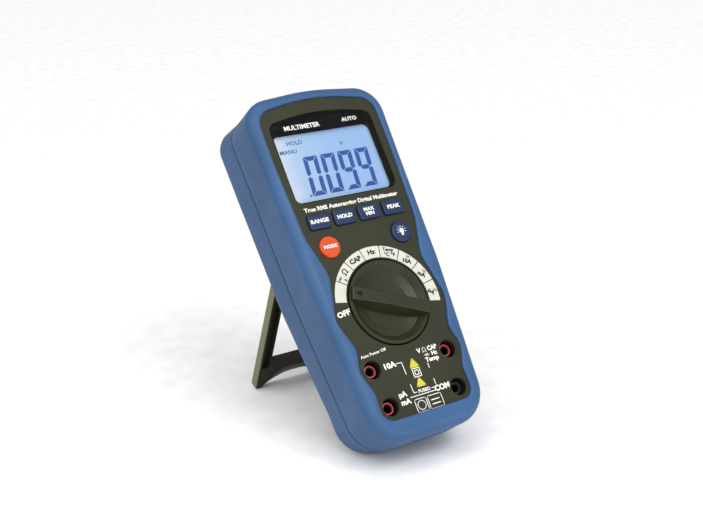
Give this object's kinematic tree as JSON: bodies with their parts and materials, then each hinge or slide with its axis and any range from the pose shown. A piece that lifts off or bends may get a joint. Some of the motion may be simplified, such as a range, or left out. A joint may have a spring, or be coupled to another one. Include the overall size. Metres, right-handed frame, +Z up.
{
  "type": "digital multimeter",
  "caption": "Hand-held digital multimeter in a soft blue shell, leaning back on its open tilt stand, with a lit display, push keys, a rotary selector and plug jacks.",
  "frame": {"origin": "centre of the footprint box, on the table", "axes": "+Z up, the face looks to -Y and up, +X to the right of someone reading the display; the meter's length leans back 53.4 degrees above the table"},
  "size_m": [0.0802, 0.1381, 0.164],
  "materials": {
    "blue_rubber": "fine matt moulding",
    "dark_plastic": "fine matt moulding",
    "knob_plastic": "satin",
    "black_plastic": "matt",
    "black_rubber": "matt",
    "clear_window": "polished",
    "black_print": "gloss",
    "lcd": "satin",
    "diffuser": "satin",
    "white_plastic": "matt",
    "board": "satin",
    "label": "satin print",
    "brass": "plated",
    "steel": "plated",
    "ceramic": "glazed",
    "blue_ceramic": "dipped",
    "battery_wrap": "printed foil",
    "blue_key": "satin",
    "orange_key": "satin",
    "red_plastic": "satin"
  },
  "bodies": {
    "case": {"battery": "battery_wrap", "battery_contacts": "steel", "battery_cover": "dark_plastic", "battery_gasket": "black_rubber", "battery_screws": "steel", "battery_terminals": "steel", "board_link": "black_plastic", "board_screws": "steel", "buzzer": "black_plastic", "capacitors": "black_plastic", "case_gasket": "black_rubber", "case_screws": "steel", "circuit_chips": "black_plastic", "current_shunt": "brass", "detent_ring": "white_plastic", "dial_scale": "label", "display_board": "board", "display_mask": "black_print", "display_window": "clear_window", "front_case": "dark_plastic", "front_overmould": "blue_rubber", "fuse_10a": "ceramic", "fuse_caps": "steel", "fuse_clips": "steel", "fuse_ma": "ceramic", "jack_contact_10a": "brass", "jack_contact_com": "brass", "jack_contact_ma": "brass", "jack_contact_v": "brass", "jack_sleeve_10a": "red_plastic", "jack_sleeve_com": "black_plastic", "jack_sleeve_ma": "red_plastic", "jack_sleeve_v": "red_plastic", "key_domes": "steel", "keypad_seal": "black_rubber", "lcd_backlight": "diffuser", "lcd_glass": "lcd", "lcd_holder": "white_plastic", "main_board": "board", "rear_case": "dark_plastic", "rear_overmould": "blue_rubber", "stand_pins": "steel", "switch_tracks": "brass", "varistors": "blue_ceramic", "zebra_strips": "black_rubber"},
    "selector": {"selector_knob": "knob_plastic", "knob_pointer": "label", "selector_shaft": "knob_plastic", "shaft_seal": "black_rubber", "selector_wipers": "brass", "shaft_circlip": "steel", "detent_rollers": "steel"},
    "stand": {"tilt_stand": "dark_plastic"},
    "range_button": {"range_button": "blue_key"},
    "hold_button": {"hold_button": "blue_key"},
    "max_min_button": {"max_min_button": "blue_key"},
    "peak_button": {"peak_button": "blue_key"},
    "mode_button": {"mode_button": "orange_key"},
    "backlight_button": {"backlight_button": "blue_key"}
  },
  "joints": [
    {"name": "selector_turn", "type": "hinge", "parent": "case", "child": "selector", "pos_m": [0, -0.03104, 0.07233], "axis": [0, -0.8028, 0.5962], "range_deg": [-157.5, 22.5]},
    {"name": "stand_fold", "type": "hinge", "parent": "case", "child": "stand", "pos_m": [0, 0.0264, 0.0851], "axis": [-1, 0, 0], "range_deg": [0, 59]},
    {"name": "range_press", "type": "slide", "parent": "case", "child": "range_button", "axis": [0, 0.8028, -0.5962], "range_m": [0, 0.001], "stiffness_N_per_m": 1500},
    {"name": "hold_press", "type": "slide", "parent": "case", "child": "hold_button", "axis": [0, 0.8028, -0.5962], "range_m": [0, 0.001], "stiffness_N_per_m": 1500},
    {"name": "max_min_press", "type": "slide", "parent": "case", "child": "max_min_button", "axis": [0, 0.8028, -0.5962], "range_m": [0, 0.001], "stiffness_N_per_m": 1500},
    {"name": "peak_press", "type": "slide", "parent": "case", "child": "peak_button", "axis": [0, 0.8028, -0.5962], "range_m": [0, 0.001], "stiffness_N_per_m": 1500},
    {"name": "mode_press", "type": "slide", "parent": "case", "child": "mode_button", "axis": [0, 0.8028, -0.5962], "range_m": [0, 0.001], "stiffness_N_per_m": 1500},
    {"name": "backlight_press", "type": "slide", "parent": "case", "child": "backlight_button", "axis": [0, 0.8028, -0.5962], "range_m": [0, 0.001], "stiffness_N_per_m": 1500}
  ]
}
